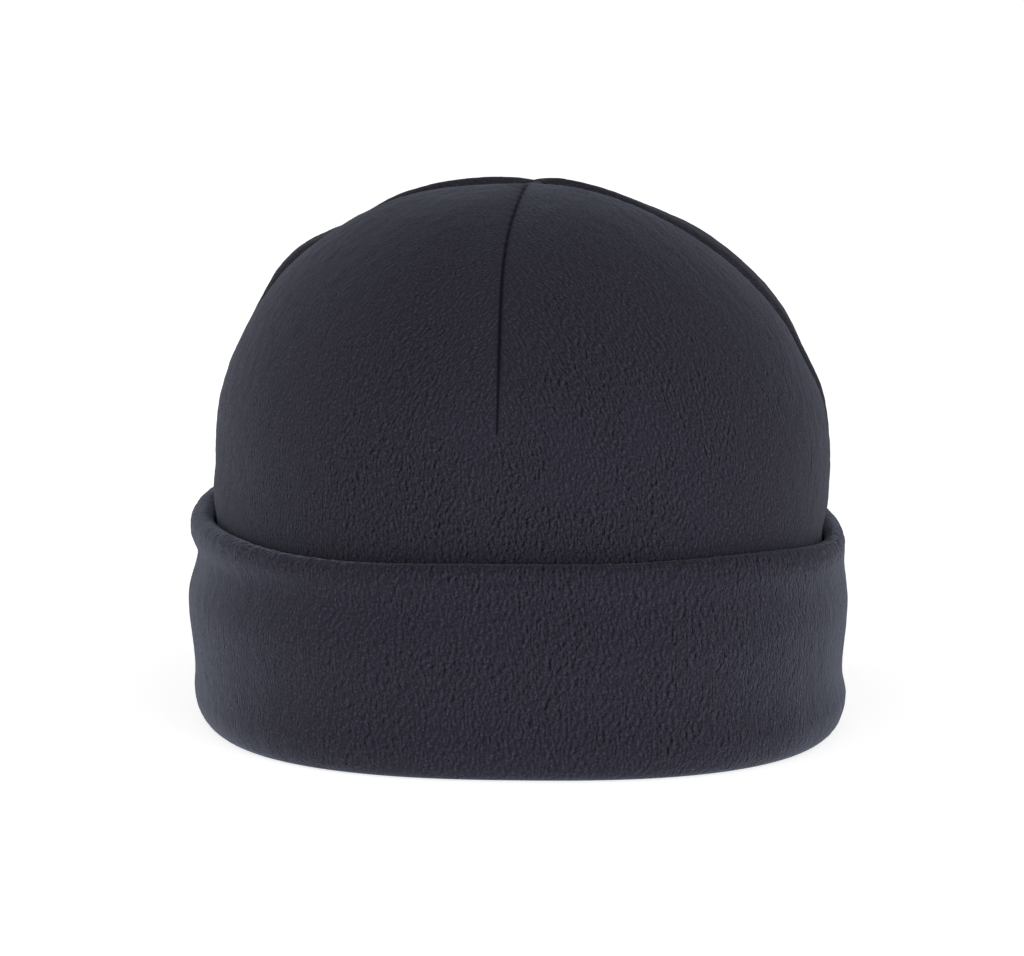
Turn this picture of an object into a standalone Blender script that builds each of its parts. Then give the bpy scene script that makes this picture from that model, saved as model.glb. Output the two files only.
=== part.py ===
"""Cuffed fleece beanie, standing by itself on its turned-up cuff.

Metres, +Z up. The origin is on the resting plane under the middle of the hat, and the front faces -Y.
An azimuth is an angle round the hat in degrees: 0 is +X, 90 is the back, -90 is the front.
"""

import math
from collections import namedtuple

import bmesh
import bpy
from mathutils import Vector

# Cloth
FLEECE = 0.0025  # one layer
LAYER_AIR = 0.0004  # loose air between the cuff's two layers
PIECE_GAP = 0.0003  # clearance where two pieces meet

# Crown
CROWN_WIDTH = 0.1785  # outside, where the wall starts to close
CROWN_DEPTH = 0.2005
SPRING_HEIGHT = 0.0745  # where the wall starts to close
DOME_RISE = 0.0812  # from there to the top
APEX_SHIFT = 0.0042  # the four gores meet this far to the right of the middle
DOME_LEAN = 0.0038  # below that, the dome leans this far to the left
SEAM_DRIFT = 8.0  # degrees that the front and back seams drift to the right near the top
WALL_POWER = 2.50  # squareness of the plan, where 2 is an ellipse
TOP_POWER = 2.10
GORE_FULLNESS = 0.0026  # how far a gore swells between its two seams
SEAM_DRAW = 0.0029  # how far the stitching draws the cloth in
SEAM_RUN_OUT = 0.026  # length over which a dart fades in from its tip
SEAM_SHALLOW = 0.2  # share of that draw where the cloth is upright
STAR_RADIUS = 0.050  # round the top, the gores' swelling fades inside this radius

# Cuff
CUFF_HEIGHT = 0.0600
CUFF_TILT = 0.0020  # its top edge is this much higher at the left and lower at the right
CUFF_SIDE_DROP = 0.0015  # and it dips by this much at both sides
CUFF_AIR = 0.0008  # least room between the crown and the turned-up band
JOIN_HEIGHT = 0.0090  # where the band is sewn to the crown's lower edge
LIP_PROUD = 0.0006  # the doubled band stands this far inside the crown's inner face
LIP_SWELL = 0.0015  # and this much further where the fold squeezes it
OUTER_FOLD_WIDTH = 0.0056  # rounding of the lower fold, outside: across
OUTER_FOLD_HEIGHT = 0.0095  # and up
INNER_FOLD = 0.0030  # and inside

# Seam allowances
ALLOWANCE_DEPTH = 0.0055  # how far the two sewn layers stand into the hollow
ALLOWANCE_WIDTH = 0.0046  # two layers, pressed by the stitching
ALLOWANCE_END = 0.0050  # distance from the top at which each one stops
ALLOWANCE_TIP = 0.35  # share of its depth that an allowance has where it starts

# Fineness of the meshes
WALL_ROWS = 8
DOME_ROWS = 15
TOP_RING = 0.0031  # radius of the last row, just short of the top
CUFF_COLUMNS = 72
CORNER_STEPS = 4
FACE_STEPS = 9

Seam = namedtuple("Seam", "name azimuth start")
Swell = namedtuple("Swell", "height left right")
Dent = namedtuple("Dent", "azimuth height breadth tallness depth")
Wave = namedtuple("Wave", "azimuth breadth rise")

# Sewn lines of the crown, about a quarter of a turn apart. start is a share of the crown's whole height.
SEAMS = (
    Seam("front_dart", -94, 0.605),
    Seam("right_dart", -8, 0.560),
    Seam("back_seam", 86, 0.000),
    Seam("left_dart", 178, 0.560),
)

# Places of the columns beside a seam, in degrees from it, as far as half way to the next seam.
HALF_GORE = 45
COLUMN_SPREAD = (0, 1.2, 2.8, 5.5, 10, 16, 23, 30, 37.5, HALF_GORE)

# How far the wall stands in or out below the spring line. height is a share of SPRING_HEIGHT,
# left and right are shares of FLEECE.
WALL_SWELLS = (
    Swell(0.12, -0.55, -0.60),
    Swell(0.40, -0.60, -0.70),
    Swell(0.74, -0.40, -0.80),
    Swell(0.90, 0.15, -0.10),
    Swell(1.00, 0.00, 0.00),
)

# The same for the cuff's outer face. height is a share of CUFF_HEIGHT.
CUFF_SWELLS = (
    Swell(0.08, 0.10, 0.15),
    Swell(0.28, -0.20, -0.60),
    Swell(0.60, 0.50, -0.10),
    Swell(0.82, -0.60, -0.60),
    Swell(0.93, 0.25, -0.60),
)

# Soft hollows (depth above 0) and swellings (below 0) in the crown. height and tallness are shares
# of the crown's whole height, breadth is in degrees, depth is a share of FLEECE.
DENTS = (
    Dent(-104, 0.80, 7, 0.10, 0.50),  # left of the front dart
    Dent(-85, 0.74, 8, 0.10, -0.25),  # the lit fold right of it
    Dent(-94, 0.575, 11, 0.018, 0.30),  # pucker under the dart's tip
    Dent(-150, 0.50, 18, 0.07, 0.45),  # left wall, above the cuff
    Dent(-40, 0.60, 20, 0.09, -0.30),
    Dent(40, 0.62, 20, 0.12, 0.35),
    Dent(140, 0.66, 22, 0.10, -0.35),
    Dent(160, 0.82, 24, 0.06, -0.90),  # full shoulder of the back gore, left
    Dent(165, 0.91, 16, 0.035, 0.65),  # and the flat slope above it
    Dent(150, 0.96, 35, 0.04, 0.15),
    Dent(20, 0.95, 30, 0.04, 0.50),
    Dent(5, 0.69, 25, 0.05, 0.35),  # right wall, under the dart
)

# Places where the cuff's top edge waves up or down. breadth is in degrees, rise is a share of
# CUFF_HEIGHT.
CUFF_WAVES = (
    Wave(-122, 20, -0.036),
    Wave(-52, 20, 0.032),
)

CROWN_HEIGHT = SPRING_HEIGHT + DOME_RISE
BAND = 2 * FLEECE + LAYER_AIR
GORE_RISE = 0.55 * DOME_RISE  # height over which the gores fill out

# Cross-section of an allowance: shares of its half width and of its depth.
ALLOWANCE_OUTLINE = ((-1, 0), (-1, 0.7), (-0.6, 0.95), (0.6, 0.95), (1, 0.7), (1, 0))


def ease(share):
    """0 to 1 with level ends."""
    share = min(max(share, 0.0), 1.0)
    return share * share * (3 - 2 * share)


def degrees_apart(a, b):
    return abs((a - b + 180) % 360 - 180)


def swell(rows, share, azimuth):
    """A swelling table read at a height, eased between its rows and from its left to its right column."""
    side = (1 + math.cos(math.radians(azimuth))) / 2
    values = [FLEECE * (row.left + (row.right - row.left) * side) for row in rows]
    if share <= rows[0].height:
        return values[0]
    for low, high, start, end in zip(rows, rows[1:], values, values[1:]):
        if share <= high.height:
            return start + (end - start) * ease((share - low.height) / (high.height - low.height))
    return values[-1]


def plan_point(azimuth, power):
    """The plan's outline, and its outward direction there."""
    half_width, half_depth = CROWN_WIDTH / 2, CROWN_DEPTH / 2
    along = Vector((math.cos(math.radians(azimuth)), math.sin(math.radians(azimuth)), 0))
    across, back = abs(along.x) / half_width, abs(along.y) / half_depth
    point = along * (across**power + back**power) ** (-1 / power)
    outward = Vector((
        math.copysign(across ** (power - 1) / half_width, along.x),
        math.copysign(back ** (power - 1) / half_depth, along.y),
        0,
    ))
    return point, outward.normalized()


def crown_rows():
    """Height and spread of each row of the crown, from its lower edge to just short of the top."""
    lower_edge = JOIN_HEIGHT + PIECE_GAP
    wall = [
        (lower_edge + (SPRING_HEIGHT - lower_edge) * row / WALL_ROWS, 1.0) for row in range(WALL_ROWS)
    ]
    last = math.acos(TOP_RING / (CROWN_WIDTH / 2))
    turns = [math.pi / 2 * row / DOME_ROWS for row in range(DOME_ROWS)] + [last]
    return wall + [(SPRING_HEIGHT + DOME_RISE * math.sin(turn), math.cos(turn)) for turn in turns]


def relief(azimuth, height, spread):
    """How far the crown's cloth stands proud of the plain dome: full gores, drawn-in seams and dents."""
    full = ease((height - SPRING_HEIGHT) / GORE_RISE)
    star = ease(spread * CROWN_WIDTH / 2 / STAR_RADIUS)
    proud = GORE_FULLNESS * full
    for seam in SEAMS:
        apart = degrees_apart(azimuth, seam.azimuth) / HALF_GORE
        if apart < 1:
            sewn = ease((height - seam.start * CROWN_HEIGHT) / SEAM_RUN_OUT)
            draw = SEAM_DRAW * (SEAM_SHALLOW + (1 - SEAM_SHALLOW) * full)
            proud -= draw * sewn * (1 - apart) ** 3
    for dent in DENTS:
        round_it = degrees_apart(azimuth, dent.azimuth) / dent.breadth
        up_it = (height / CROWN_HEIGHT - dent.height) / dent.tallness
        proud -= dent.depth * FLEECE * math.exp(-round_it**2 - up_it**2)
    return proud * star + swell(WALL_SWELLS, height / SPRING_HEIGHT, azimuth)


def crown_point(azimuth, height, spread):
    """A point of the crown's outer face, and its outward direction on the plain dome."""
    up = max(0.0, (height - SPRING_HEIGHT) / DOME_RISE)
    closed = 1 - spread
    drift = SEAM_DRIFT * math.sin(math.pi * closed**4) * math.sin(math.radians(azimuth))
    point, outward = plan_point(azimuth - drift, WALL_POWER + (TOP_POWER - WALL_POWER) * ease(up))
    normal = outward * spread / CROWN_WIDTH + Vector((0, 0, up / 2 / DOME_RISE))
    normal.normalize()
    lean = APEX_SHIFT * closed**8 - DOME_LEAN * math.sin(math.pi * closed**1.5)
    point = point * spread + Vector((lean, 0, height))
    return point + normal * relief(azimuth, height, spread), normal


def seam_columns():
    """Azimuths of the crown's columns, closest together beside each sewn line."""
    both_sides = [side * spread for spread in COLUMN_SPREAD for side in (-1, 1)]
    return sorted({round(seam.azimuth + spread, 3) % 360 for seam in SEAMS for spread in both_sides})


def skin(name, rings, wrap=False, capped=False, top=None):
    """An object with faces between its rings of points. Its ends are left open, joined round (wrap),
    closed by a face each (capped), or the last one is closed by a point (top)."""
    mesh = bmesh.new()
    loops = [[mesh.verts.new(point) for point in ring] for ring in rings]
    pairs = list(zip(loops, loops[1:]))
    if wrap:
        pairs.append((loops[-1], loops[0]))
    for lower, upper in pairs:
        for i in range(len(lower)):
            mesh.faces.new((lower[i - 1], lower[i], upper[i], upper[i - 1]))
    if capped:
        mesh.faces.new(loops[0])
        mesh.faces.new(loops[-1])
    if top is not None:
        peak = mesh.verts.new(top)
        for i in range(len(loops[-1])):
            mesh.faces.new((loops[-1][i - 1], loops[-1][i], peak))
    bmesh.ops.recalc_face_normals(mesh, faces=mesh.faces)
    data = bpy.data.meshes.new(name)
    mesh.to_mesh(data)
    mesh.free()
    data.shade_smooth()
    piece = bpy.data.objects.new(name, data)
    bpy.context.scene.collection.objects.link(piece)
    return piece


def fleece(name, colour, roughness):
    """Matt brushed fleece."""
    material = bpy.data.materials.new(name)
    material.use_nodes = True
    shader = material.node_tree.nodes["Principled BSDF"]
    shader.inputs["Base Color"].default_value = (*colour, 1)
    shader.inputs["Roughness"].default_value = roughness
    shader.inputs["Metallic"].default_value = 0
    material.diffuse_color = (*colour, 1)
    return material


def make_crown():
    rings = [
        [crown_point(azimuth, height, spread)[0] for azimuth in seam_columns()]
        for height, spread in crown_rows()
    ]
    piece = skin("crown", rings, top=Vector((APEX_SHIFT, 0, CROWN_HEIGHT)))
    wall = piece.modifiers.new("one layer of fleece", "SOLIDIFY")
    wall.thickness = FLEECE
    wall.offset = -1
    wall.use_quality_normals = True
    return piece


def corner(centre, width, height, start, end):
    """Points of a rounding, from one angle to the other in degrees, as (out, height)."""
    points = []
    for step in range(CORNER_STEPS + 1):
        turn = math.radians(start + (end - start) * step / CORNER_STEPS)
        points.append((centre[0] + width * math.cos(turn), centre[1] + height * math.sin(turn)))
    return points


def cuff_face(azimuth, height):
    """How far the cuff's outer face stands out from the crown's plain wall."""
    return CUFF_AIR + BAND + swell(CUFF_SWELLS, height / CUFF_HEIGHT, azimuth)


def cuff_section(azimuth):
    """Outline of the band cut across, as (out from the crown's plain wall, height)."""
    side = math.cos(math.radians(azimuth))
    top_fold = BAND / 2
    top = CUFF_HEIGHT - CUFF_TILT * side - CUFF_SIDE_DROP * side**4 - top_fold
    for wave in CUFF_WAVES:
        apart = degrees_apart(azimuth, wave.azimuth) / wave.breadth
        top += wave.rise * CUFF_HEIGHT * math.exp(-(apart**2))
    lip = -FLEECE - LIP_PROUD
    inner = (lip - LIP_SWELL + INNER_FOLD, INNER_FOLD)
    outer = (cuff_face(azimuth, OUTER_FOLD_HEIGHT) - OUTER_FOLD_WIDTH, OUTER_FOLD_HEIGHT)
    heights = [
        OUTER_FOLD_HEIGHT + (top - OUTER_FOLD_HEIGHT) * step / FACE_STEPS for step in range(1, FACE_STEPS)
    ]
    section = corner(inner, INNER_FOLD, INNER_FOLD, 180, 270)
    section += corner(outer, OUTER_FOLD_WIDTH, OUTER_FOLD_HEIGHT, 270, 360)
    section += [(cuff_face(azimuth, height), height) for height in heights]
    section += corner((cuff_face(azimuth, top) - top_fold, top), top_fold, top_fold, 0, 180)
    section += [(cuff_face(azimuth, height) - BAND, height) for height in heights[::-2]]
    section += [(cuff_face(azimuth, JOIN_HEIGHT) - BAND, JOIN_HEIGHT), (lip, JOIN_HEIGHT)]
    return section


def make_cuff():
    rings = []
    for column in range(CUFF_COLUMNS):
        azimuth = 360 * column / CUFF_COLUMNS
        base, outward = plan_point(azimuth, WALL_POWER)
        rings.append([base + outward * out + Vector((0, 0, height)) for out, height in cuff_section(azimuth)])
    return skin("cuff", rings, wrap=True)


def seam_places(seam):
    """Places on the crown's outer face along a sewn line, each with its outward direction."""
    return [
        crown_point(seam.azimuth, height, spread)
        for height, spread in crown_rows()
        if height > seam.start * CROWN_HEIGHT and spread * CROWN_DEPTH / 2 > ALLOWANCE_END
    ]


def make_allowance(seam):
    """The doubled edge that the stitching leaves inside, a strip with its free edge rounded."""
    places = seam_places(seam)
    points = [point for point, _ in places]
    rings = []
    for i, (point, outward) in enumerate(places):
        along = (points[min(i + 1, len(points) - 1)] - points[max(i - 1, 0)]).normalized()
        across = along.cross(outward).normalized()
        inward = along.cross(across)
        grown = min(ALLOWANCE_TIP + (point - points[0]).length / SEAM_RUN_OUT, 1)
        seat = point - outward * (FLEECE + PIECE_GAP)
        rings.append([
            seat + across * side * ALLOWANCE_WIDTH / 2 + inward * deep * ALLOWANCE_DEPTH * grown
            for side, deep in ALLOWANCE_OUTLINE
        ])
    return skin(seam.name + "_allowance", rings, capped=True)


def clear_scene():
    for old in list(bpy.data.objects):
        bpy.data.objects.remove(old, do_unlink=True)


clear_scene()
hat = bpy.data.objects.new("beanie", None)
bpy.context.scene.collection.objects.link(hat)
pieces = [
    (make_crown(), fleece("crown_fleece", (0.028, 0.027, 0.038), 0.95)),
    (make_cuff(), fleece("cuff_fleece", (0.028, 0.027, 0.038), 0.95)),
]
inside_fleece = fleece("inside_fleece", (0.024, 0.023, 0.032), 1.0)
for seam in SEAMS:
    pieces.append((make_allowance(seam), inside_fleece))
for piece, material in pieces:
    piece.data.materials.append(material)
    piece.parent = hat
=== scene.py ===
"""Cuffed fleece beanie, standing on its turned-up cuff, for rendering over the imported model.

Metres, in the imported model's frame: +Z up, the front towards -Y, the resting plane at 0. An azimuth is
an angle round the hat in degrees: 0 is the right side, 90 the back, -90 the front.
"""

import bpy
import numpy as np
from mathutils import Matrix, Vector


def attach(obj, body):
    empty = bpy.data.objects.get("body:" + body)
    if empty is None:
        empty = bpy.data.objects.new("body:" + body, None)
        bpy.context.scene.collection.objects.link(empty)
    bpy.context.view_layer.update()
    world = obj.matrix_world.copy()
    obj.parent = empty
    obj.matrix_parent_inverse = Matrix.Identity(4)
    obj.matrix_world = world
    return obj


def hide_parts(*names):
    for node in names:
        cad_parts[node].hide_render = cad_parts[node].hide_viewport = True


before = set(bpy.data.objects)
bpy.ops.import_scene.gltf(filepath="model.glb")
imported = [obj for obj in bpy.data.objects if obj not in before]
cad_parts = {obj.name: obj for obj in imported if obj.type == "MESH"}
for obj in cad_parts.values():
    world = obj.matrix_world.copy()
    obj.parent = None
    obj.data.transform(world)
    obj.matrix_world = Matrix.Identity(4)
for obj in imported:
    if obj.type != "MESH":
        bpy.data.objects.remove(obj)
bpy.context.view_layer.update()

# Crown. One layer of brushed polyester fleece, cut in one piece that three sewn darts and a
# centre-back seam close to a dome. The cloth runs on uncut below the darts, down to where the cuff is
# sewn on inside the fold. Each sewn line pulls the cloth in, so the four gores stand full between them.

MM = 0.001
FLEECE = 2.5 * MM
PIECE_GAP = 0.3 * MM  # between pieces that are sewn together
CROWN_WIDTH = 178.5 * MM
CROWN_DEPTH = 200.5 * MM
SPRING_HEIGHT = 74.5 * MM  # where the wall starts to close
DOME_RISE = 81.2 * MM
CROWN_HEIGHT = SPRING_HEIGHT + DOME_RISE
APEX_SHIFT = 4.2 * MM  # to the right
DOME_LEAN = 3.8 * MM  # to the left, most half way up
SEAM_DRIFT = 8.0  # degrees by which the front and back seams drift to the right near the top
TIP_DRIFT = 3.0  # degrees by which the right dart comes forward towards its tip
TIP_PLACE = 0.60 * CROWN_HEIGHT
TIP_REACH = 0.13 * CROWN_HEIGHT
WALL_POWER = 2.50  # squareness of the plan, where 2 is an ellipse
TOP_POWER = 2.10
GORE_FULLNESS = 2.6 * MM
GORE_RISE = 0.55 * DOME_RISE  # height over which the gores fill out
SEAM_DRAW = 2.9 * MM  # how far a sewn line pulls the cloth in
SEAM_RUN_OUT = 26 * MM
SEAM_SHALLOW = 0.2  # share of that pull at the lower end
STAR_RADIUS = 50 * MM  # inside it the gores flatten towards the top
JOIN_HEIGHT = 9 * MM  # of the seam between crown and cuff
TOP_RING = 3.1 * MM  # radius of the last row of the mesh
BACK = 86  # azimuth of the centre-back seam, where the cloth's own measure starts

# Sewn lines: azimuth, and where each starts as a share of the crown's height.
SEAMS = {
    "front_dart": (266, 0.605),
    "right_dart": (352, 0.560),
    "back_seam": (86, 0.000),
    "left_dart": (178, 0.560),
}
# Swellings of the wall: share of the spring height, then shares of the cloth's thickness left and right.
WALL_SWELLS = (
    (0.12, -0.55, -0.60), (0.40, -0.60, -0.70), (0.74, -0.40, -0.80), (0.90, 0.15, -0.10), (1.00, 0, 0),
)
# Soft hollows and swellings: azimuth, height, breadth in degrees, tallness, depth in cloth thicknesses.
DENTS = (
    (-104, 0.80, 7, 0.10, 0.50),
    (-85, 0.74, 8, 0.10, -0.25),
    (-94, 0.575, 11, 0.018, 0.30),
    (-150, 0.50, 18, 0.07, 0.45),
    (-40, 0.60, 20, 0.09, -0.30),
    (40, 0.62, 20, 0.12, 0.35),
    (140, 0.66, 22, 0.10, -0.35),
    (160, 0.82, 24, 0.06, -0.90),
    (165, 0.91, 18, 0.035, 1.05),
    (150, 0.96, 35, 0.04, 0.45),
    (20, 0.95, 30, 0.04, 0.50),
    (5, 0.69, 25, 0.05, 0.35),
)


def ease(share):
    """0 to 1 with level ends."""
    share = np.clip(share, 0, 1)
    return share * share * (3 - 2 * share)


def turn_between(a, b):
    """Degrees from b to a, between -180 and 180."""
    return (a - b + 180) % 360 - 180


def swelling(rows, share, azimuth):
    """A table of swellings read at a height, eased between its rows and from left to right."""
    side = (1 + np.cos(np.radians(azimuth))) / 2
    value = FLEECE * (rows[0][1] + (rows[0][2] - rows[0][1]) * side)
    for low, high in zip(rows, rows[1:]):
        step = [FLEECE * (end[1] + (end[2] - end[1]) * side) for end in (low, high)]
        value = value + (step[1] - step[0]) * ease((share - low[0]) / (high[0] - low[0]))
    return value


def plan_outline(azimuth, power):
    """The hat's outline seen from above, and its outward direction."""
    x, y = np.cos(np.radians(azimuth)), np.sin(np.radians(azimuth))
    half_width, half_depth = CROWN_WIDTH / 2, CROWN_DEPTH / 2
    across, deep = np.abs(x) / half_width, np.abs(y) / half_depth
    reach = (across**power + deep**power) ** (-1 / power)
    outward = np.stack([
        np.sign(x) * across ** (power - 1) / half_width,
        np.sign(y) * deep ** (power - 1) / half_depth,
        0 * x,
    ], -1)
    point = np.stack([x * reach, y * reach, 0 * x], -1)
    return point, outward / np.linalg.norm(outward, axis=-1)[..., None]


def round_the_hat():
    """Azimuths every tenth of a degree from the back seam, and the cloth's length from it to each."""
    azimuth = BACK + np.arange(3601) / 10
    point = plan_outline(azimuth, WALL_POWER)[0]
    steps = np.linalg.norm(np.diff(point, axis=0), axis=1)
    return azimuth, np.concatenate([[0], np.cumsum(steps)])


GIRTH_AZIMUTH, GIRTH_LENGTH = round_the_hat()
GIRTH = GIRTH_LENGTH[-1]


def girth_at(azimuth):
    """Length round the wall from the back seam, for azimuths from BACK to BACK + 360."""
    return np.interp(azimuth, GIRTH_AZIMUTH, GIRTH_LENGTH)


def clumps(across, along, seed):
    """Smooth random heights from -1 to 1, one to each unit square."""
    lattice = np.random.default_rng(seed).uniform(-1, 1, (512, 512))
    column, row = np.floor(across).astype(int), np.floor(along).astype(int)
    right, up = ease(across - column), ease(along - row)
    corner = [[lattice[(column + i) % 512, (row + j) % 512] for j in (0, 1)] for i in (0, 1)]
    low = corner[0][0] + (corner[1][0] - corner[0][0]) * right
    high = corner[0][1] + (corner[1][1] - corner[0][1]) * right
    return low + (high - low) * up


def crown_relief(azimuth, height, spread):
    """How far the cloth stands proud of the plain dome."""
    full = ease((height - SPRING_HEIGHT) / GORE_RISE)
    star = ease(spread * CROWN_WIDTH / 2 / STAR_RADIUS)
    proud = GORE_FULLNESS * full
    for seam_azimuth, start in SEAMS.values():
        apart = np.minimum(np.abs(turn_between(azimuth, seam_azimuth)) / 45, 1)
        sewn = ease((height - start * CROWN_HEIGHT) / SEAM_RUN_OUT)
        draw = SEAM_DRAW * (SEAM_SHALLOW + (1 - SEAM_SHALLOW) * full)
        proud = proud - draw * sewn * (1 - apart) ** 3
    for dent_azimuth, place, breadth, tallness, depth in DENTS:
        round_it = turn_between(azimuth, dent_azimuth) / breadth
        up_it = (height / CROWN_HEIGHT - place) / tallness
        proud = proud - depth * FLEECE * np.exp(-(round_it**2) - up_it**2)
    return proud * star + swelling(WALL_SWELLS, height / SPRING_HEIGHT, azimuth)


def crown_surface(azimuth, height, spread, fine=0.0):
    """Points of the crown's outer face, with any fine relief added, and their outward directions."""
    up = np.maximum(0, (height - SPRING_HEIGHT) / DOME_RISE)
    closed = 1 - spread
    drift = SEAM_DRIFT * np.sin(np.pi * closed**3.2) * np.sin(np.radians(azimuth))
    by_tip = np.exp(-(((height - TIP_PLACE) / TIP_REACH) ** 2))
    drift = drift + TIP_DRIFT * by_tip * np.maximum(0, np.cos(np.radians(azimuth))) ** 2
    point, outward = plan_outline(azimuth - drift, WALL_POWER + (TOP_POWER - WALL_POWER) * ease(up))
    normal = outward * (spread / CROWN_WIDTH)[..., None]
    normal[..., 2] += up / 2 / DOME_RISE
    normal /= np.linalg.norm(normal, axis=-1)[..., None]
    point = point * spread[..., None]
    point[..., 0] += APEX_SHIFT * closed**8 - DOME_LEAN * np.sin(np.pi * closed**1.5)
    point[..., 2] += height
    proud = crown_relief(azimuth, height, spread) + fine
    return point + normal * proud[..., None], normal


# The crown's cloth is measured upwards from the resting plane, over a dome of even roundness.
MEAN_RADIUS = (CROWN_WIDTH + CROWN_DEPTH) / 4
DOME_TURNS = np.linspace(0, np.pi / 2, 400)
DOME_LENGTHS = np.concatenate([[0], np.cumsum(np.hypot(
    np.diff(MEAN_RADIUS * np.cos(DOME_TURNS)), np.diff(DOME_RISE * np.sin(DOME_TURNS))))])


def cloth_height(height):
    """Length along the cloth from the resting plane up to a height on the crown."""
    turn = np.arcsin(np.clip((height - SPRING_HEIGHT) / DOME_RISE, 0, 1))
    return np.minimum(height, SPRING_HEIGHT) + np.interp(turn, DOME_TURNS, DOME_LENGTHS)


def from_seams(azimuth, height, spread):
    """For each sewn line, the distance across the cloth from it, to the right above 0, and past its tip."""
    along = cloth_height(height)
    found = {}
    for name, (seam_azimuth, start) in SEAMS.items():
        across = turn_between(azimuth, seam_azimuth)
        side = np.abs((girth_at(azimuth) - girth_at(seam_azimuth) + GIRTH / 2) % GIRTH - GIRTH / 2)
        past_tip = np.maximum(0, cloth_height(start * CROWN_HEIGHT) - along)
        found[name] = (np.sign(across) * side * spread, past_tip)
    return found


# The back gores stand full right behind the two side darts, so that each shows from the front as a
# narrow strip. The number is the side of the dart that puffs.
PUFFS = {"right_dart": 1, "left_dart": -1}
PUFF_RISE, PUFF_START, PUFF_REACH = 1.1 * MM, 2.2 * MM, 10 * MM
PUFF_TOP = 12 * MM  # radius round the top inside which the puffs fade
STITCH = 4.1 * MM  # spacing of the small puckers that the stitching leaves along a seam
PUCKER_HEIGHT, PUCKER_WIDTH = 0.12 * MM, 3 * MM
SEAM_CREASE = 0.9 * MM
SEAM_CREASE_WIDTH = 0.55 * MM
TAPER = 24 * MM  # length over which a dart's sewn line gets thinner towards its tip
TAPER_DEPTH = 0.55  # share of its depth that it has lost there
TAPER_TONE = 0.9  # and how much narrower the painted shade along its crease looks
TIP_FADE = 2 * MM  # distance past the tip over which it ends
# How far the cloth rolls down to each sewn line: depth and width on its left side, then on its right.
SEAM_ROLLS = {
    "front_dart": (0.75 * MM, 4.0 * MM, 0.15 * MM, 2.0 * MM),
    "right_dart": (1.7 * MM, 6.0 * MM, 0.9 * MM, 2.4 * MM),
    "back_seam": (0.45 * MM, 2.5 * MM, 0.45 * MM, 2.5 * MM),
    "left_dart": (0.9 * MM, 2.4 * MM, 1.7 * MM, 6.0 * MM),
}
# Round the top, the pile hides each sewn line inside a radius.
BARE_TOPS = {"front_dart": 6.5 * MM, "right_dart": 2 * MM, "back_seam": 2 * MM, "left_dart": 2 * MM}
CLUMP_WIDTH, CLUMP_HEIGHT = 1.9 * MM, 2.3 * MM  # of the pebbly pile
CLUMP_RELIEF = 0.11 * MM
SMOOTH_BESIDE_SEAM = 5 * MM
FAR = 20 * MM  # the distance from a seam that is given to cloth with none near


def crown_fine_relief(azimuth, height, spread, across, along):
    """Creases, rolls and puckers at the sewn lines, and the pebbly pile between them."""
    fine = np.zeros_like(azimuth)
    nearest = np.full_like(azimuth, 1.0)
    radius = spread * CROWN_WIDTH / 2
    for name, (side, past_tip) in from_seams(azimuth, height, spread).items():
        bare_top = BARE_TOPS[name]
        distance = np.hypot(side, past_tip + np.maximum(0, 1.6 * bare_top - radius) / 4)
        from_tip = cloth_height(height) - cloth_height(SEAMS[name][1] * CROWN_HEIGHT)
        tapered = 1 - ease(from_tip / TAPER)
        nearest = np.minimum(nearest, distance * (1 + TAPER_TONE * tapered))
        left_depth, left_width, right_depth, right_width = SEAM_ROLLS[name]
        depth = np.where(side < 0, left_depth, right_depth)
        width = np.where(side < 0, left_width, right_width)
        held = np.exp(-((past_tip / TIP_FADE) ** 2)) * ease((radius - bare_top) / bare_top)
        held = held * (1 - TAPER_DEPTH * tapered)
        if name in PUFFS:
            behind = np.maximum(0, side * PUFFS[name])
            grown = ease((height - SEAMS[name][1] * CROWN_HEIGHT) / SEAM_RUN_OUT) * ease(radius / PUFF_TOP)
            puff = (1 - np.exp(-((behind / PUFF_START) ** 2))) * np.exp(-((behind / PUFF_REACH) ** 2))
            fine += PUFF_RISE * grown * puff
        fine -= SEAM_CREASE * np.exp(-((side / SEAM_CREASE_WIDTH) ** 2)) * held
        fine -= depth * (np.exp(-((side / width) ** 2)) - np.exp(-((side / SEAM_CREASE_WIDTH) ** 2))) * held
        pucker = np.cos(2 * np.pi * along / STITCH + 1.3 * clumps(along / (9 * MM), side * 0, 5))
        fine += PUCKER_HEIGHT * pucker * np.exp(-((distance / PUCKER_WIDTH) ** 2))
    pebbly = CLUMP_RELIEF * (1 - np.exp(-((nearest / SMOOTH_BESIDE_SEAM) ** 2)))
    pile = clumps(across / CLUMP_WIDTH, along / CLUMP_HEIGHT, 1)
    pile += 0.6 * clumps(across / CLUMP_WIDTH / 2.2, along / CLUMP_HEIGHT / 1.9, 2)
    return fine + pebbly * pile, nearest


# Azimuths of the sewn lines round the hat from the back seam and to it again. A gore lies between two.
GORE_EDGES = np.array(sorted(azimuth for azimuth, start in SEAMS.values()) + [BACK + 360])


def cloth_across(azimuth, height, spread, gore):
    """Length round the cloth as it was cut flat, where each gore narrows to its own middle."""
    darts_start = 0.58 * CROWN_HEIGHT
    dart_spread = np.cos(np.arcsin((darts_start - SPRING_HEIGHT) / DOME_RISE))
    narrow = np.minimum(1, spread / dart_spread)
    middle = (girth_at(GORE_EDGES[gore]) + girth_at(GORE_EDGES[gore + 1])) / 2
    return middle + (girth_at(azimuth) - middle) * narrow


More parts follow.
